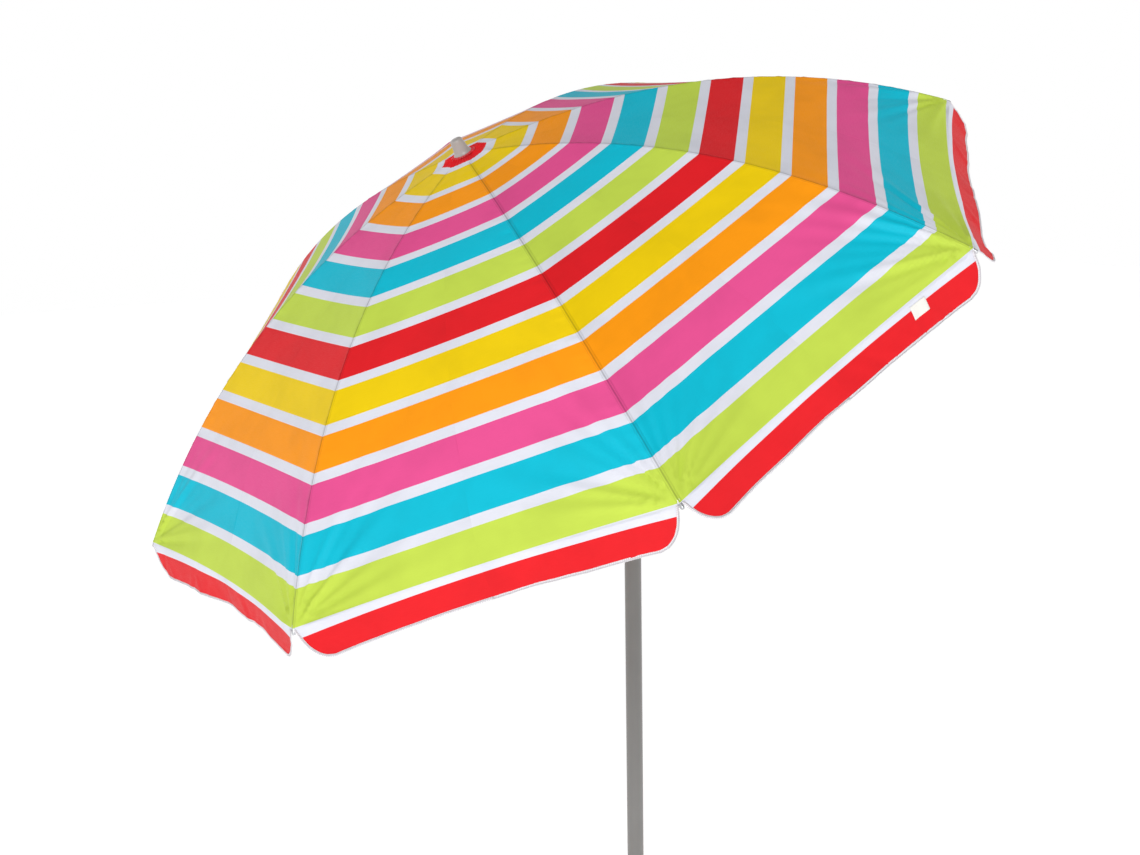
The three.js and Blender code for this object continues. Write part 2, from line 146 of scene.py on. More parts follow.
# shader toolkit
class Val:
    # one output socket; arithmetic on it adds Math nodes to its tree
    def __init__(self, nodes, socket):
        self.nodes, self.socket = nodes, socket

    def math(self, operation, *others):
        return self.nodes.add("ShaderNodeMath", dict(operation=operation), [self, *others])

    def __add__(self, other): return self.math("ADD", other)
    def __radd__(self, other): return self.math("ADD", other)
    def __sub__(self, other): return self.math("SUBTRACT", other)
    def __rsub__(self, other):
        return self.nodes.add("ShaderNodeMath", dict(operation="SUBTRACT"), [other, self])

    def __mul__(self, other): return self.math("MULTIPLY", other)
    def __rmul__(self, other): return self.math("MULTIPLY", other)
    def __truediv__(self, other): return self.math("DIVIDE", other)
    def __mod__(self, other): return self.math("FLOORED_MODULO", other)
    def __lt__(self, other): return self.math("LESS_THAN", other)
    def __gt__(self, other): return self.math("GREATER_THAN", other)
    def __abs__(self): return self.math("ABSOLUTE")

    def sin(self): return self.math("SINE")
    def floor(self): return self.math("FLOOR")
    def high(self, other): return self.math("MAXIMUM", other)

    def ramp(self, start, end, low=0.0, high=1.0):   # smooth step from low to high between start and end
        sockets = {"Value": self, "From Min": start, "From Max": end, "To Min": low, "To Max": high}
        return self.nodes.add("ShaderNodeMapRange", dict(interpolation_type="SMOOTHSTEP"), sockets)


class Nodes:
    # a node tree under construction; add() makes every node but the maths above
    def __init__(self, tree):
        self.tree = tree

    def add(self, kind, settings=None, sockets=(), output=0):
        node = self.tree.nodes.new(kind)
        for name, value in (settings or {}).items():
            if name == "stops":
                ramp = node.color_ramp
                ramp.interpolation = settings.get("interpolate", "LINEAR")
                while len(ramp.elements) < len(value):
                    ramp.elements.new(1.0)
                for element, (place, colour) in zip(ramp.elements, value):
                    element.position = place
                    element.color = (*colour, 1.0)
            elif name != "interpolate":
                setattr(node, name, value)
        pairs = sockets.items() if isinstance(sockets, dict) else enumerate(sockets)
        for name, value in pairs:
            if isinstance(value, Val):
                self.tree.links.new(value.socket, node.inputs[name])
            else:
                node.inputs[name].default_value = value
        return Val(self, node.outputs[output])

    def parts(self, vector):   # x, y and z of a vector
        first = self.add("ShaderNodeSeparateXYZ", {}, [vector])
        return [Val(self, socket) for socket in first.socket.node.outputs]


class Paint(Nodes):
    # a material's nodes, with its constant sockets set on the shader itself
    def __init__(self, name, **shader):
        self.material = bpy.data.materials.new(name)
        self.material.use_nodes = True
        super().__init__(self.material.node_tree)
        self.shader = self.tree.nodes["Principled BSDF"]
        for socket, value in shader.items():
            self.shader.inputs[socket.replace("_", " ")].default_value = value

    def mix(self, share, one, other):   # colours
        sockets = {"Factor": share, 6: self.colour(one), 7: self.colour(other)}
        return self.add("ShaderNodeMix", dict(data_type="RGBA"), sockets, 2)

    def darken(self, share, colour, depth):   # towards black by depth where share is 1
        return self.mix(share, colour, self.mix(depth, colour, (0.0, 0.0, 0.0)))

    def colour(self, value):
        return value if isinstance(value, Val) else (*value, 1.0)

    def noise(self, place, scale, detail=2.0, rough=0.5):
        sockets = {"Vector": place, "Scale": scale, "Detail": detail, "Roughness": rough}
        return self.add("ShaderNodeTexNoise", {}, sockets)

    def stretch(self, place, x=1.0, y=1.0, z=1.0):
        return self.add("ShaderNodeVectorMath", dict(operation="MULTIPLY"), [place, (x, y, z)])

    def uv(self, name):
        return self.add("ShaderNodeUVMap", dict(uv_map=name))

    def object(self):
        return self.add("ShaderNodeTexCoord", {}, (), 3)

    def wire(self, socket, value):
        self.tree.links.new(value.socket, self.shader.inputs[socket])

    def bump(self, height, distance):
        self.wire("Normal", self.add("ShaderNodeBump", {}, {"Height": height, "Distance": distance}))


# cloth
cloth = dict(
    firstStripe=0.0581,      # along the middle of the gore, where the yellow starts
    pitch=0.0731,
    band=0.0558,             # printed part of a pitch
    centreEdge=0.038,
    white=(0.71, 0.72, 0.80),
    bands=(                  # from the crown outwards, repeating
        ("yellow", (0.84, 0.59, 0.0)),
        ("orange", (0.94, 0.31, 0.002)),
        ("pink", (0.76, 0.078, 0.275)),
        ("cyan", (0.0, 0.48, 0.63)),
        ("green", (0.53, 0.68, 0.075)),
        ("red", (0.73, 0.010, 0.016)),
    ),
    thread=0.0009,           # one period of the weave
    seam=0.0085,             # folded seam beside each rib
    stripeEdge=0.0004,       # softness of a stripe's edge
    firstStitch=0.0014,      # rows of stitches, across from the rib
    secondStitch=0.00357,
    stitchLength=0.0032,
    plain=(0.045, 0.060),    # no stitches inside this length, under the gathers
    insideTint=(0.92, 0.92, 0.92),
    insideShare=0.34,
)


def weave(across, along):   # a sine across times a sine along, one thread each
    turn = 2 * math.pi / cloth["thread"]
    return (across * turn).sin() * (along * turn).sin()


def clothMaterial(name, inside=False):
    paint = Paint(name, Roughness=0.6, Specular_IOR_Level=0.16)
    onCloth = paint.uv("cloth")
    across, along = paint.parts(onCloth)[:2]
    place = (along - cloth["firstStripe"]) / cloth["pitch"]
    inBand = (place % 1.0) * cloth["pitch"]
    edge = cloth["stripeEdge"]
    printed = inBand.ramp(0.0, edge) * (1 - inBand.ramp(cloth["band"], cloth["band"] + edge))
    count = len(cloth["bands"])
    step = ((place.floor() % float(count)) + 0.5) / float(count)
    stops = [(i / count, colour) for i, (word, colour) in enumerate(cloth["bands"])]
    stripe = paint.add("ShaderNodeValToRGB", dict(stops=stops, interpolate="CONSTANT"), [step])
    colour = paint.mix(printed, cloth["white"], stripe)
    colour = paint.mix(along < cloth["centreEdge"], colour, cloth["bands"][-1][1])
    cloudy = paint.noise(onCloth, 7.0, 3.0, 0.6)
    # painted shade: random cloudy patches darken the print, standing in for the satin's uneven sheen
    colour = paint.darken(cloudy.ramp(0.35, 0.75, 0.0, 0.20), colour, 0.5)
    slub = paint.noise(paint.stretch(onCloth, 60.0, 900.0), 1.0, 2.0)
    if inside:
        colour = paint.mix(cloth["insideShare"], colour, cloth["insideTint"])
    # shade starts as the colour with the yarn's slubs darkened, their own tone; painted seam shade is added
    # to it below
    shade = paint.darken(slub.ramp(0.2, 0.9, 0.0, 0.10), colour, 0.25)
    fromSeam = abs(across)
    firstRow = 1 - abs(fromSeam - cloth["firstStitch"]).ramp(0.0003, 0.0007)
    secondRow = 1 - abs(fromSeam - cloth["secondStitch"]).ramp(0.0003, 0.0007)
    stitched = along.ramp(*cloth["plain"])
    stitchLine = firstRow.high(secondRow) * stitched
    stitch = stitchLine * ((along * (2 * math.pi / cloth["stitchLength"])).sin() > -0.5)
    # seamCreaseShade: painted shade along the seam's crease beside the rib
    seamCreaseShade = (1 - fromSeam.ramp(0.0003, 0.0012)) * stitched
    # painted shade: the stitch rows and the seam's crease are darkened towards black, in the cloth's own
    # colour
    shade = paint.darken(stitchLine * 0.3, shade, 0.5)
    shade = paint.darken(seamCreaseShade * 0.75, shade, 0.6)
    seamBand = 1 - fromSeam.ramp(cloth["seam"] * 0.45, cloth["seam"] * 0.62)
    paint.wire("Base Color", shade)
    paint.wire("Roughness", slub.ramp(0.2, 0.8, 0.48, 0.62))
    paint.bump(weave(across, along) * 0.06 + slub * 0.3 + seamBand * 0.9 + stitch * 0.5, 0.0004)
    return paint.material


def rosetteMaterial():
    paint = Paint("rosetteCloth", Roughness=0.55, Sheen_Weight=0.2)
    across, along = paint.parts(paint.uv("cloth"))[:2]
    crumple = paint.noise(paint.uv("cloth"), 70.0, 4.0, 0.6)
    # painted shade: the crumple noise mixes a lit red and a shaded red over the gathered folds
    colour = paint.mix(crumple.ramp(0.3, 0.8, 0.0, 0.6), (0.70, 0.014, 0.025), (0.50, 0.008, 0.016))
    paint.wire("Base Color", colour)
    paint.wire("Roughness", crumple.ramp(0.2, 0.8, 0.45, 0.65))
    paint.bump(weave(across, along) * 0.08 + crumple, 0.0006)
    return paint.material


def overlockMaterial():
    paint = Paint("overlockThread", Roughness=0.7, Sheen_Weight=0.2)
    across, along = paint.parts(paint.uv("cloth"))[:2]
    zig = ((along * (2 * math.pi / 0.0028)) + (across * 900.0)).sin()
    # painted shade: the thread is greyer where the zigzag sinks, in the grooves between its loops
    colour = paint.mix(zig.ramp(-1.0, 0.2), (0.74, 0.68, 0.74), (0.95, 0.93, 0.96))
    paint.wire("Base Color", colour)
    paint.bump(zig, 0.0005)
    return paint.material


# metal and plastic
def tubeMaterial(name, tint=(0.172, 0.168, 0.162)):
    paint = Paint(name, Roughness=0.38, Coat_Weight=0.15, Coat_Roughness=0.25, Metallic=0.0)
    place = paint.object()
    grain = paint.noise(paint.stretch(place, 1.0, 1.0, 0.04), 900.0, 3.0)
    cloudy = paint.noise(place, 14.0, 4.0)
    colour = paint.mix(cloudy.ramp(0.3, 0.7, 0.0, 0.5), tint, tuple(c * 0.9 for c in tint))
    paint.wire("Base Color", colour)
    paint.wire("Roughness", grain.ramp(0.2, 0.8, 0.33, 0.45))
    paint.bump(grain, 0.00006)
    return paint.material


def steelMaterial(name, tint=(0.60, 0.61, 0.63)):
    paint = Paint(name, Roughness=0.3, Metallic=0.9)
    place = paint.object()
    spangle = paint.noise(place, 260.0, 3.0, 0.6)
    dull = paint.noise(place, 30.0, 4.0, 0.6)
    colour = paint.mix(dull.ramp(0.35, 0.7), tint, tuple(c * 0.75 for c in tint))
    paint.wire("Base Color", colour)
    paint.wire("Roughness", spangle.ramp(0.2, 0.8, 0.24, 0.42) + dull * 0.06)
    paint.bump(spangle, 0.00005)
    return paint.material


def plasticMaterial(name, tint, rough=0.4, coat=0.0):
    paint = Paint(name, Roughness=rough, Coat_Weight=coat, Coat_Roughness=0.2)
    place = paint.object()
    grain = paint.noise(place, 1400.0, 2.0)
    flow = paint.noise(place, 60.0, 4.0)
    colour = paint.mix(flow.ramp(0.3, 0.75, 0.0, 0.5), tint, tuple(c * 0.88 for c in tint))
    paint.wire("Base Color", colour)
    paint.wire("Roughness", grain.ramp(0.2, 0.8, rough - 0.05, rough + 0.08))
    paint.bump(grain, 0.00006)
    return paint.material


# meshes
def smoothAll(mesh):
    mesh.polygons.foreach_set("use_smooth", np.ones(len(mesh.polygons), bool))
    mesh.update()


def gridFaces(rows, columns, closeAround=False):   # quads of a grid numbered row by row
    last = columns if closeAround else columns - 1
    i, j = np.meshgrid(np.arange(rows - 1), np.arange(last), indexing="ij")
    k = (j + 1) % columns
    near, far = i * columns, (i + 1) * columns
    return np.stack([near + j, near + k, far + k, far + j], -1).reshape(-1, 4)


def facing(vertices, faces, outwards):   # the faces turned so that on the whole they look along a direction
    corners = vertices[faces]
    normals = np.cross(corners[:, 2] - corners[:, 0], corners[:, 3] - corners[:, 1])
    return faces if (normals.sum(0) @ outwards) > 0 else faces[:, ::-1]


def outsideOut(vertices, faces):   # a closed surface's faces turned outwards, by the sign of its volume
    corners = vertices[faces] - vertices.mean(0)
    normals = np.cross(corners[:, 2] - corners[:, 0], corners[:, 3] - corners[:, 1])
    return np.einsum("ij,ij->", corners.mean(1), normals) > 0


def meshObject(name, vertices, faces, materials, uv=None, closedEnds=()):
    mesh = bpy.data.meshes.new(name)
    count = len(faces)
    loops = faces.reshape(-1).tolist() + [v for end in closedEnds for v in end]
    sizes = [4] * count + [len(end) for end in closedEnds]
    starts = np.concatenate([[0], np.cumsum(sizes)[:-1]])
    mesh.vertices.add(len(vertices))
    mesh.vertices.foreach_set("co", np.asarray(vertices, np.float32).reshape(-1))
    mesh.loops.add(len(loops))
    mesh.loops.foreach_set("vertex_index", np.asarray(loops, np.int32))
    mesh.polygons.add(len(sizes))
    mesh.polygons.foreach_set("loop_start", np.asarray(starts, np.int32))
    mesh.update(calc_edges=True)
    mesh.validate()
    if uv is not None:
        layer = mesh.uv_layers.new(name="cloth")
        layer.data.foreach_set("uv", np.asarray(uv, np.float32)[np.asarray(loops)].reshape(-1))
    smoothAll(mesh)
    for material in materials:
        mesh.materials.append(material)
    piece = bpy.data.objects.new(name, mesh)
    bpy.context.collection.objects.link(piece)
    return piece


def sharpenRim(piece, rows, columns):   # the grid's outer edges stay crisp
    mesh = piece.data
    ends = np.empty(len(mesh.edges) * 2, np.int32)
    mesh.edges.foreach_get("vertices", ends)
    row, column = np.divmod(ends.reshape(-1, 2), columns)
    onRim = np.zeros(len(ends) // 2, bool)
    for line, border in ((column, 0), (column, columns - 1), (row, 0), (row, rows - 1)):
        onRim |= (line == border).all(1)
    mesh.attributes.new("sharp_edge", "BOOLEAN", "EDGE").data.foreach_set("value", onRim)


def joinGrids(name, grids, materials):   # surfaces, each (points, uv, closed around, capped), as one piece
    vertices, uvs, faces, ends, start = [], [], [], [], 0
    for points, uv, around, capped in grids:
        rows, columns = points.shape[:2]
        vertices.append(points.reshape(-1, 3))
        uvs.append(uv.reshape(-1, 2))
        quads = gridFaces(rows, columns, around)
        outward = outsideOut(vertices[-1], quads)
        faces.append((quads if outward else quads[:, ::-1]) + start)
        if capped:
            first = list(range(start + columns - 1, start - 1, -1))
            last = list(range(start + (rows - 1) * columns, start + rows * columns))
            ends += [first, last] if outward else [first[::-1], last[::-1]]
        start += rows * columns
    corners, uv = np.concatenate(vertices), np.concatenate(uvs)
    return meshObject(name, corners, np.concatenate(faces), materials, uv, ends)


def tube(line, radius, reference, sides=12, squash=1.0):
    # A round bar along a line of points: each ring is the point plus the radius times the cosine
    # along the reference and the sine across it, both square to the line. Squash flattens it
    # along the reference.
    line = np.asarray(line, float)
    ahead = np.gradient(line, axis=0)
    ahead /= np.linalg.norm(ahead, axis=1)[:, None]
    up = reference - (ahead @ reference)[:, None] * ahead
    up /= np.linalg.norm(up, axis=1)[:, None]
    over = np.cross(ahead, up)
    angle = np.linspace(0, 2 * np.pi, sides, endpoint=False)
    radius = np.broadcast_to(radius, len(line))[:, None, None]
    cosine, sine = np.cos(angle)[None, :, None], np.sin(angle)[None, :, None]
    ring = squash * cosine * up[:, None] + sine * over[:, None]
    points = line[:, None] + radius * ring
    length = np.concatenate([[0], np.cumsum(np.linalg.norm(np.diff(line, axis=0), axis=1))])
    uv = np.stack(np.broadcast_arrays(angle[None, :] * radius[:, :, 0], length[:, None]), -1)
    return points, uv, True, True


def rounded(points, count=6, reach=0.3):
    # A profile with its corners rounded: near each inner point a parabola joins its two neighbours' sides.
    points = np.asarray(points, float)
    out = [points[:1]]
    t = np.linspace(0, 1, count)[:, None]
    for before, corner, after in zip(points[:-2], points[1:-1], points[2:]):
        cut = reach * min(np.linalg.norm(before - corner), np.linalg.norm(after - corner))
        a = corner + (before - corner) / np.linalg.norm(before - corner) * cut
        b = corner + (after - corner) / np.linalg.norm(after - corner) * cut
        out.append((1 - t) ** 2 * a + 2 * t * (1 - t) * corner + t ** 2 * b)
    out.append(points[-1:])
    return np.concatenate(out)


def turned(profile, segments=72, flute=None):
    # A body of revolution about z: each profile point (radius, height) goes round the axis.
    # Flute changes its radius with the angle.
    profile = np.asarray(profile, float)
    angle = np.linspace(0, 2 * np.pi, segments, endpoint=False)
    radius = np.maximum(profile[:, 0:1], 1e-5) + 0 * angle[None, :]
    if flute is not None:
        radius = radius + flute(profile[:, 0:1], profile[:, 1:2], angle[None, :])
    points = np.stack([radius * np.cos(angle), radius * np.sin(angle), profile[:, 1:2] + 0 * radius], -1)
    length = np.concatenate([[0], np.cumsum(np.linalg.norm(np.diff(profile, axis=0), axis=1))])
    uv = np.stack(np.broadcast_arrays(angle[None, :] * radius, length[:, None]), -1)
    return points, uv, True, False


def moved(grid, change):   # the same surface with its points passed through a function
    points, uv, around, capped = grid
    return change(points.reshape(-1, 3)).reshape(points.shape), uv, around, capped


def settle(piece, body, slot, *nodes):   # rides a body and stands for CAD nodes
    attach(piece, body)
    if nodes:
        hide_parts(*nodes)
    return piece


def thicken(piece, thickness, inner=0, offset=-1.0):
    wall = piece.modifiers.new("cloth", "SOLIDIFY")
    wall.thickness = thickness
    wall.offset = offset
    wall.material_offset = inner
    wall.use_rim = True
    return wall


# canopy: half a gore per piece, from the rib's seam to the middle of the gore
gore = dict(
    start=0.012,            # radius where the cloth starts, under the finial
    hem=0.8445,             # along the middle of the gore
    pull=0.008,             # the hem at a rib is this much further out than at the middle
    pullStart=0.56,
    rows=150,
    valanceRows=20,
    columns=46,
    valance=0.058,
    bend=math.radians(25),  # of the valance, below the canopy's own slope
    thickness=0.0005,
    tipPucker=0.0026,
    ribPucker=0.0005,
    sag=0.004,              # how far the middle of a gore sinks between two ribs
    hemSink=0.013,          # how far its middle is drawn in at the hem
    wave=0.0024,
    crease=0.0016,
    creases=26,
    hemTurn=0.012,          # the valance's bend takes this much cloth
    endGap=0.003,           # valance's end from the rib at the hem
    endSlope=0.018,         # and further at its edge
    endCorner=0.030,        # round corner, from cornerStart down
    cornerStart=0.35,
    gather=0.0014,
    uneven=0.0009,
)


def smooth(value, start, end):   # smooth step between two values
    t = np.clip((value - start) / (end - start), 0, 1)
    return t * t * (3 - 2 * t)


def goreCloth(side, number):
    # Two parameters: u runs from the crown to the hem and down the valance, w from rib to middle.
    # A point is on the straight chord between two ribs at the radius where the gore's length is u,
    # a little longer near the ribs. Past the hem it turns from the gore's slope to the valance's.
    azimuth = halfStep * (2 * number - 1)
    radii = np.linspace(0, dome["tipRadius"] * 1.03, 600)
    lengths = alongGore(radii)
    startAlong = float(np.interp(gore["start"], radii, lengths))
    printed = startAlong + (gore["hem"] - startAlong) * np.linspace(0, 1, gore["rows"])
    share = np.linspace(0, 1, gore["columns"]) ** 1.25        # finer beside the rib
    along, w = np.meshgrid(printed, share, indexing="ij")
    belly = 1 - (1 - w) ** 2
    pulled = gore["pull"] * (1 - belly) * smooth(along, gore["pullStart"], gore["hem"])
    r = np.interp(along + pulled, lengths, radii)
    half = r * math.sin(halfStep)
    across = half * w
    out, z = r * math.cos(halfStep), domeHeight(r)
    toRib = half - across   # from the middle towards the rib
    slope = np.arctan(domeTan(r) / math.cos(halfStep))
    # valance
    depth = gore["valance"] * np.linspace(0, 1, gore["valanceRows"] + 1)[1:, None] + 0 * share[None, :]
    turn = slope[-1:] + gore["bend"] * smooth(depth, 0.0, gore["hemTurn"])
    steps = np.diff(np.concatenate([0 * depth[:1], depth]), axis=0)
    v = depth / gore["valance"]
    corner = np.clip((v - gore["cornerStart"]) / (1 - gore["cornerStart"]), 0, 1)
    roundOff = gore["endCorner"] * (1 - np.sqrt(np.clip(1 - corner ** 2, 0, 1)))
    setback = gore["endGap"] + gore["endSlope"] * v + roundOff
    width = half[-1, 0]
    fromRib = setback + (width - setback) * share[None, :]
    out = np.concatenate([out, out[-1:] + np.cumsum(steps * np.cos(turn), 0)])
    z = np.concatenate([z, z[-1:] - np.cumsum(steps * np.sin(turn), 0)])
    toRib = np.concatenate([toRib, width - fromRib])
    across = np.concatenate([across, fromRib])
    along = np.concatenate([along, gore["hem"] + depth])
    slope = np.concatenate([slope, turn])
    lift = goreRelief(across, along, number, side, width)
    out = out + lift * np.sin(slope)
    z = z + lift * np.cos(slope)
    x = out * math.cos(halfStep) + toRib * math.sin(halfStep)
    y = side * (out * math.sin(halfStep) - toRib * math.cos(halfStep))
    points = toRow(np.stack([x, y, z], -1).reshape(-1, 3), azimuth)
    uv = np.stack([side * across, along], -1).reshape(-1, 2)
    return points, uv, out.shape


def waves(value, counts, seed, least, shift=0, quarter=0):
    # sines of a value at several counts per unit, each with a drawn height and then a drawn start
    total = 0
    for count in counts:
        height = seed.uniform(least, 1.0)
        total = total + height * np.sin(value * count + shift + quarter + seed.uniform(0, 6.28))
    return total


def goreRelief(across, along, number, side, width):
    # small relief along the normal: creases that fan out from the rib's tip, fine gathers beside
    # the seam, slow unevenness of the stretched cloth, and waves that grow down the valance
    hem = gore["hem"]
    seed = np.random.default_rng(100 + number * 2 + (side > 0))
    shared = np.random.default_rng(500 + (number + (side > 0) - 1) % dome["ribs"])   # for both halves
    toTip = np.hypot(across, hem - along) + 1e-6
    angle = np.arctan2(across, hem - along)
    fade = np.exp(-(toTip / 0.14) ** 1.5) * np.clip(toTip / 0.035, 0, 1)
    fan = waves(angle, (7, 11, 16, 23, 31), seed, 0.5)
    inside = along <= hem + 0.004
    lift = gore["tipPucker"] * fade * fan * inside * np.clip(across / 0.012, 0, 1)
    beside = np.exp(-(across / 0.022) ** 2) * np.clip(across / 0.003, 0, 1)
    ripple = waves(along, (160, 260, 410), seed, 0.4, across * 40)
    lift += gore["ribPucker"] * beside * ripple
    t = np.clip(across / (width * np.clip(along / hem, 0.02, 1)), 0, 1)
    belly = 1 - (1 - t) ** 2
    lift -= gore["sag"] * belly * np.sin(np.pi * np.clip(along / hem, 0, 1)) ** 1.5
    lift -= gore["hemSink"] * belly * smooth(along, 0.60, hem)
    slow = waves(along, (9, 17, 28), shared, 0.3, quarter=math.pi / 2)
    lift += gore["uneven"] * slow * belly
    down = np.clip((along - hem) / gore["valance"], 0, 1)
    fromMiddle = side * (width - across)
    lift += gore["wave"] * waves(fromMiddle, (9, 17, 29, 43), shared, 0.4) * down ** 1.2
    for fold in range(gore["creases"]):
        middle, slant = shared.uniform(-width, width), shared.uniform(-0.9, 0.9)
        wide = shared.uniform(0.005, 0.010)
        high, top = shared.uniform(-1, 1), shared.uniform(0.1, 0.5)
        offset = (fromMiddle - middle - slant * (along - hem)) / wide
        lift += gore["crease"] * high * np.exp(-offset ** 2) * smooth(down, top, top + 0.35)
    gather = np.exp(-((along - 0.026) / 0.012) ** 2)
    folds = np.sin(4 * np.pi * t) + 0.7 * np.sin(7 * np.pi * t) * np.sin(along * 160 + number)
    return lift + gore["gather"] * gather * (0.9 + 0.5 * folds) * np.clip(t / 0.1, 0, 1)


def flatArea():   # the cut half gore: a triangle with bowed sides, plus its share of the valance
    radius = np.linspace(0, dome["tipRadius"], 200)
    width = radius * math.sin(halfStep)
    valanceWidth = dome["tipRadius"] * math.sin(halfStep) - 0.02
    return float(np.trapz(width, alongGore(radius))) + gore["valance"] * valanceWidth


def bendWeights(piece):
    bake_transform(piece)


overlock = dict(radius=0.0025, sides=10, squash=0.32)
tag = dict(rib=7, side=-1, fromRib=0.125, depth=0.023, width=0.032, height=0.020,
           above=0.0007, cells=14)


def sampleGrid(grid, row, column):   # bilinear: a point between four of the grid's points
    r0, c0 = np.floor(row).astype(int), np.floor(column).astype(int)
    fr, fc = (row - r0)[..., None], (column - c0)[..., None]
    low = grid[r0, c0] * (1 - fc) + grid[r0, c0 + 1] * fc
    high = grid[r0 + 1, c0] * (1 - fc) + grid[r0 + 1, c0 + 1] * fc
    return low * (1 - fr) + high * fr


def makeTag(grid, outwards):
    # a blank label sewn on the valance: a patch of the valance's own surface, lifted a little outwards
    cells = tag["cells"]
    width = dome["tipRadius"] * math.sin(halfStep)
    fromRib = tag["fromRib"] + tag["width"] * (np.linspace(0, 1, cells) - 0.5)
    depth = tag["depth"] + tag["height"] * (np.linspace(0, 1, cells) - 0.5)
    rowAt = gore["rows"] - 1 + depth / gore["valance"] * gore["valanceRows"]
    row, across = np.meshgrid(rowAt, fromRib, indexing="ij")
    share = across / width
    points = sampleGrid(grid, row, share ** 0.8 * (gore["columns"] - 1)) + tag["above"] * outwards
    uv = np.stack([across, row * 0.003], -1)
    paint = Paint("blankLabel", Roughness=0.5)
    place = paint.uv("cloth")
    ribs = paint.noise(paint.stretch(place, 300.0, 2500.0), 1.0, 3.0)
    paint.wire("Base Color", paint.mix(ribs.ramp(0.2, 0.8), (0.83, 0.82, 0.76), (0.74, 0.73, 0.68)))
    paint.wire("Roughness", ribs.ramp(0.2, 0.8, 0.4, 0.6))
    paint.bump(ribs, 0.0001)
    corners = points.reshape(-1, 3)
    faces = facing(corners, gridFaces(cells, cells), outwards)
    piece = meshObject("blankTag", corners, faces, [paint.material], uv.reshape(-1, 2))
    thicken(piece, 0.0004)
    bendWeights(piece)
    return piece


def makeCanopy():
    outside = clothMaterial("stripedCloth")
    within = clothMaterial("stripedClothInside", inside=True)
    thread = overlockMaterial()
    for number in range(1, dome["ribs"] + 1):
        for side, word in ((-1, "right"), (1, "left")):
            node, ribBody = f"half_gore_{number}_{word}", f"rib_{number}"
            points, uv, (rows, columns) = goreCloth(side, number)
            faces = facing(points, gridFaces(rows, columns), points.mean(0) - joint)
            piece = meshObject(f"cloth_{number}_{word}", points, faces, [outside, within], uv)
            sharpenRim(piece, rows, columns)
            thicken(piece, gore["thickness"], inner=1)
            bendWeights(piece)
            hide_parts(node)
            grid = points.reshape(rows, columns, 3)
            halfway = columns // 2
            middle = grid[-8, halfway]
            outwards = np.cross(grid[-2, halfway] - middle, grid[-8, 4] - middle)
            outwards *= np.sign(outwards @ (grid[-8, 4] - joint)) / np.linalg.norm(outwards)
            end = np.arange(gore["rows"], rows) * columns
            border = np.concatenate([end, (rows - 1) * columns + np.arange(1, columns)])
            band = tube(points[border], overlock["radius"], outwards, overlock["sides"], overlock["squash"])
            hem = joinGrids(f"overlock_{number}_{word}", [band], [thread])
            bendWeights(hem)
            if (number, side) == (tag["rib"], tag["side"]):
                makeTag(grid, outwards)
            flatArea()
    print("canopy: sixteen half gores with overlocked edges")


# ribs, tips and stretchers
rib = dict(
    eye=0.024,               # radius of its eye from the canopy axis
    inwards=0.00405,         # centre line under the outside of the cloth
    radius=0.00225,
    pastHem=0.0065,
    sides=16,
    rows=90,
)
stretcher = dict(
    reach=0.284,             # its outer pin along the rib from the rib's eye
    length=0.316,
    below=0.0032,            # the pin under the rib's centre line
    half=0.0017,             # bar's half width and half height
    height=0.0026,
    fork=0.0034,             # a fork's cheek from the middle
)
alongPin = np.array([0.0, 1.0, 0.0])   # in a rib's own frame


def ribLine(radius, below=0.0):   # in the rib's own frame: the dome's line moved inwards along its normal
    slope = np.arctan(domeTan(radius))
    inwards = rib["inwards"] + below
    out, up = radius - inwards * np.sin(slope), domeHeight(radius) - inwards * np.cos(slope)
    return np.stack([out, 0 * radius, up], -1)


def eyePlate(place, radius, half):   # a flat round plate: a turned profile laid on its side
    profile = rounded([(0, -half), (radius, -half), (radius, half), (0, half)], 4, 0.12)
    return moved(turned(profile, 28), lambda p: p[:, [0, 2, 1]] * (1, 1, -1) + place)


def linkage():   # the rib's centre line with its end, and the stretcher's pin and runner eye
    radii = np.linspace(rib["eye"] + 0.0015, dome["tipRadius"], rib["rows"])
    line = ribLine(radii)
    last = line[-1] - line[-2]
    ahead = last / np.linalg.norm(last)
    hinge = (rib["eye"], dome["hingeHeight"])
    distance = np.linalg.norm(line[:, [0, 2]] - hinge, axis=1)
    reach = float(np.interp(stretcher["reach"], distance, radii))
    pin = ribLine(np.array([reach]), stretcher["below"])[0]
    drop = math.sqrt(stretcher["length"] ** 2 - (pin[0] - rib["eye"]) ** 2)
    runnerEye = np.array([rib["eye"], 0.0, pin[2] - drop])
    return np.concatenate([line, (line[-1] + ahead * rib["pastHem"])[None]]), ahead, pin, runnerEye


def stretcherParts(pin, runnerEye):
    # a flat pressed bar with a fork round the rib and an eye in the runner
    length = stretcher["length"]
    along = (pin - runnerEye) / length
    steps = np.linspace(0.003, length - 0.013, 30)[:, None]
    flatness = stretcher["half"] / stretcher["height"]
    bar = tube(runnerEye + along * steps, stretcher["height"], alongPin, 16, flatness)
    cheek = runnerEye + along * np.linspace(length - 0.0175, length + 0.002, 8)[:, None]
    forks = [tube(cheek + way * stretcher["fork"] * alongPin, 0.0026, alongPin, 12, 0.22) for way in (-1, 1)]
    crossing = np.linspace(-0.0036, 0.0036, 6)[:, None] * alongPin
    bridge = tube(runnerEye + along * (length - 0.0165) + crossing, 0.0024, along, 12)
    return [bar, *forks, bridge, eyePlate(runnerEye, 0.003, 0.0015)]


def wrinkle(radius, height, angle):   # the sewn loop's small folds: two sines round it
    return 0.00018 * np.sin(7 * angle + 900 * height) + 0.0001 * np.sin(13 * angle)


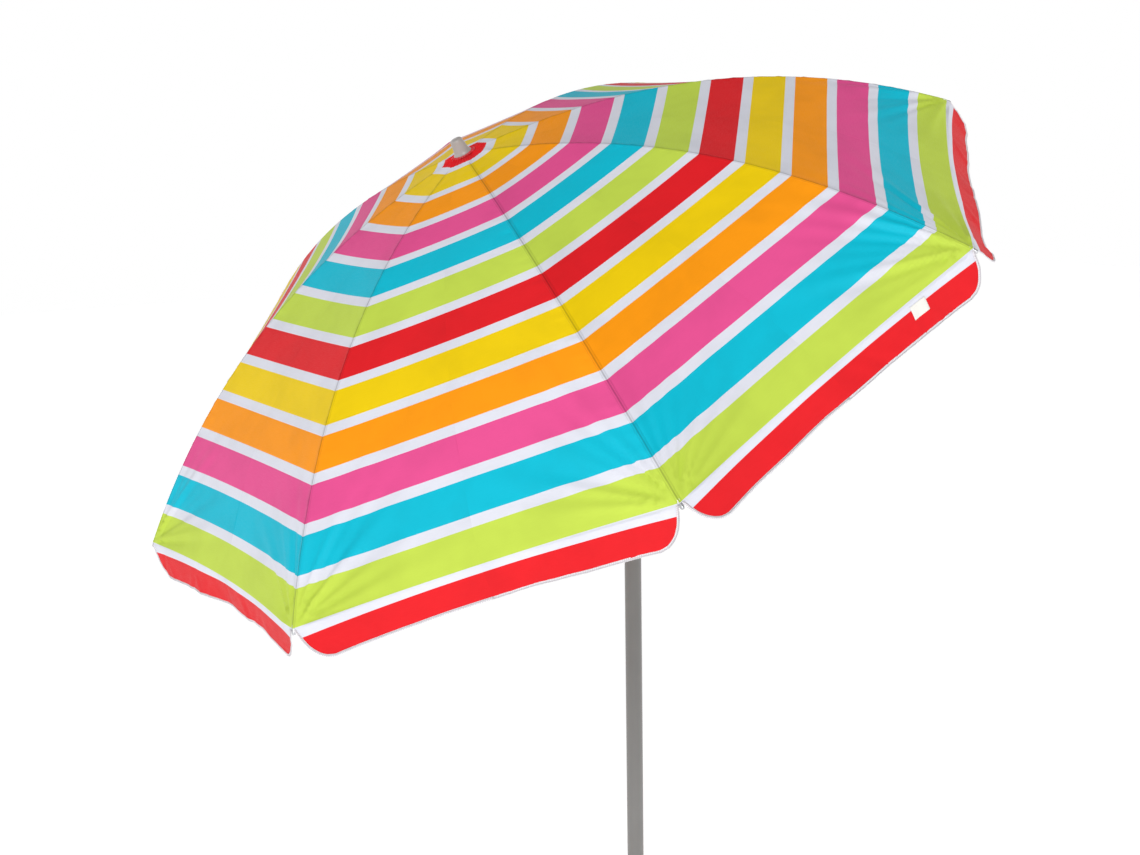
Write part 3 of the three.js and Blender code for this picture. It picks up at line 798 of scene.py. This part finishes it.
def makeRibs(steel):
    line, ahead, pin, runnerEye = linkage()
    rod = [tube(line, rib["radius"], alongPin, rib["sides"]),
           eyePlate((rib["eye"], 0, dome["hingeHeight"]), 0.0031, 0.0017),
           eyePlate(pin, 0.0029, 0.0023), eyePlate(pin, 0.0014, 0.0047)]
    cap = rounded([(0.0024, 0.0), (0.0034, 0.0), (0.0034, 0.0052), (0.0031, 0.0075),
                   (0.0017, 0.009), (0, 0.0092)], 6, 0.35)
    loop = rounded([(0.0023, -0.0075), (0.0034, -0.007), (0.0037, -0.004), (0.0036, 0.0),
                    (0.0032, 0.0012), (0.0023, 0.001)], 5, 0.35)
    lay = turnAbout("Y", math.pi / 2 + math.atan2(-ahead[2], ahead[0])).T
    cap = moved(turned(cap, 32), lambda p: p @ lay + line[-2] + ahead * 0.001)
    loop = moved(turned(loop, 40, wrinkle), lambda p: p @ lay + line[-2])
    strut = stretcherParts(pin, runnerEye)
    fabric = plasticMaterial("loopCloth", (0.80, 0.80, 0.84), 0.75)
    sets = (   # piece, surfaces, body, slot, CAD nodes, material
        ("ribRod_", rod, "rib_", "rib_steel", ("rib_",), steel),
        ("ribTip_", [cap], "rib_", "rib_steel", ("rib_tip_",), steel),
        ("stretcherBar_", strut, "stretcher_", "rib_steel", ("stretcher_",), steel),
        ("tipLoop_", [loop], "rib_", "canopy_cloth", (), fabric),
    )
    for number in range(1, dome["ribs"] + 1):
        azimuth = halfStep * (2 * number - 1)
        for name, grids, body, slot, nodes, material in sets:
            placed = [moved(grid, lambda p: toRow(p, azimuth)) for grid in grids]
            piece = joinGrids(f"{name}{number}", placed, [material])
            settle(piece, f"{body}{number}", slot, *(f"{node}{number}" for node in nodes))
    print("ribs, tips, loops and stretchers")


# mast and finial
mastParts = dict(
    lowerTube=("lower_mast", "grey_tube", "lower_tube", 0.016, 0.0453, 1.034),
    slidingTube=("mast_slide", "grey_tube", "sliding_tube", 0.014, 0.640, 1.1237),
)
upperTube = (0.014, 0.026, 0.6646)   # radius, low and high, from the tilt joint
finial = dict(
    base=0.6913,
    profile=((0.0, 0.0), (0.0160, 0.0), (0.0166, 0.0018), (0.0146, 0.0042), (0.0131, 0.0085),
             (0.0121, 0.0150), (0.0114, 0.0215), (0.0108, 0.0262), (0.0088, 0.0286),
             (0.0045, 0.0294), (0.0, 0.0295)),
)
rosetteRing = dict(inner=0.0135, outer=0.0225, dome=0.0006, frill=0.0008, rows=14, segments=240)


def tubeProfile(radius, low, high, wall=0.0012):
    inner = radius - wall
    return rounded([(inner, low + 0.03), (inner, low), (radius, low), (radius, high),
                    (inner, high), (inner, high - 0.03)], 5, 0.35)


def makeRosette(clothPaint):
    # a ring of gathered cloth round the finial: its height is a wave in the angle, fading at both edges
    rows, segments = rosetteRing["rows"], rosetteRing["segments"]
    radii = np.linspace(rosetteRing["inner"], rosetteRing["outer"], rows)
    rise = finial["base"] + rosetteRing["dome"] * np.sin(np.linspace(0, 3, rows))
    points, uv, around, capped = turned(np.stack([radii, rise], -1), segments)
    angle = np.arctan2(points[..., 1], points[..., 0])
    out = np.linspace(0, 1, rows)[:, None]
    folds = np.sin(26 * angle) + 0.5 * np.sin(41 * angle + 1)
    points[..., 2] += rosetteRing["frill"] * np.sin(np.pi * out) * folds
    points[..., 2] += rosetteRing["dome"] * (1 - out)
    corners = toRow(points.reshape(-1, 3))
    faces = facing(corners, gridFaces(rows, segments, True), corners.mean(0) - joint)
    rosette = meshObject("centreRosette", corners, faces, [clothPaint], uv.reshape(-1, 2))
    thicken(rosette, 0.0004)
    settle(rosette, "upper_pole", "red_cloth")


def makeMast(tubePaint, finialPaint, clothPaint):
    for name, (body, slot, node, radius, low, high) in mastParts.items():
        pipe = joinGrids(name, [turned(tubeProfile(radius, low, high), 96)], [tubePaint])
        settle(pipe, body, slot, node)
    pipe = turned(tubeProfile(*upperTube), 96)
    upper = joinGrids("upperTube", [moved(pipe, toRow)], [tubePaint])
    settle(upper, "upper_pole", "grey_tube", "upper_tube")
    profile = rounded(finial["profile"], 6, 0.45) + (0, finial["base"])
    cap = joinGrids("finialBell", [moved(turned(profile, 96), toRow)], [finialPaint])
    settle(cap, "upper_pole", "grey_plastic", "finial")
    makeRosette(clothPaint)
    print("mast and finial")


# stage
def makeFloor():
    size = studio["floor"]
    corners = np.array([[-size, -size, 0], [size, -size, 0], [size, size, 0], [-size, size, 0]], float)
    paint = Paint("paleFloor", Roughness=0.9, Base_Color=(0.9, 0.9, 0.9, 1),
                  Emission_Color=(1, 1, 1, 1), Emission_Strength=0.6)
    floor = meshObject("floor", corners, np.array([[0, 1, 2, 3]]), [paint.material])


def finishNodes():
    looks = dict(
        grey_tube=tubeMaterial("greyTube"),
        rib_steel=steelMaterial("platedSteel"),
        white_plastic=plasticMaterial("whiteNylon", (0.80, 0.80, 0.78), 0.42),
        grey_plastic=plasticMaterial("greyMoulding", (0.36, 0.33, 0.315), 0.3, 0.3),
        dark_plastic=plasticMaterial("darkMoulding", (0.035, 0.036, 0.038), 0.45),
        red_cloth=rosetteMaterial(),
        canopy_cloth=rosetteMaterial(),
    )
    slots = {entry["node"]: entry["material_slot"] for entry in frame["record"]["subparts"]}
    for name, node in frame["nodes"].items():
        if not node.material_slots:
            node.data.materials.append(looks[slots[name]])
        for slot in node.material_slots:
            slot.material = looks[slots[name]]
    print("finishes on the frame's own nodes")
    return looks


makeCamera()
makeStudio()
makeFloor()
looks = finishNodes()
makeCanopy()
makeRibs(looks["rib_steel"])
makeMast(looks["grey_tube"], looks["grey_plastic"], looks["red_cloth"])
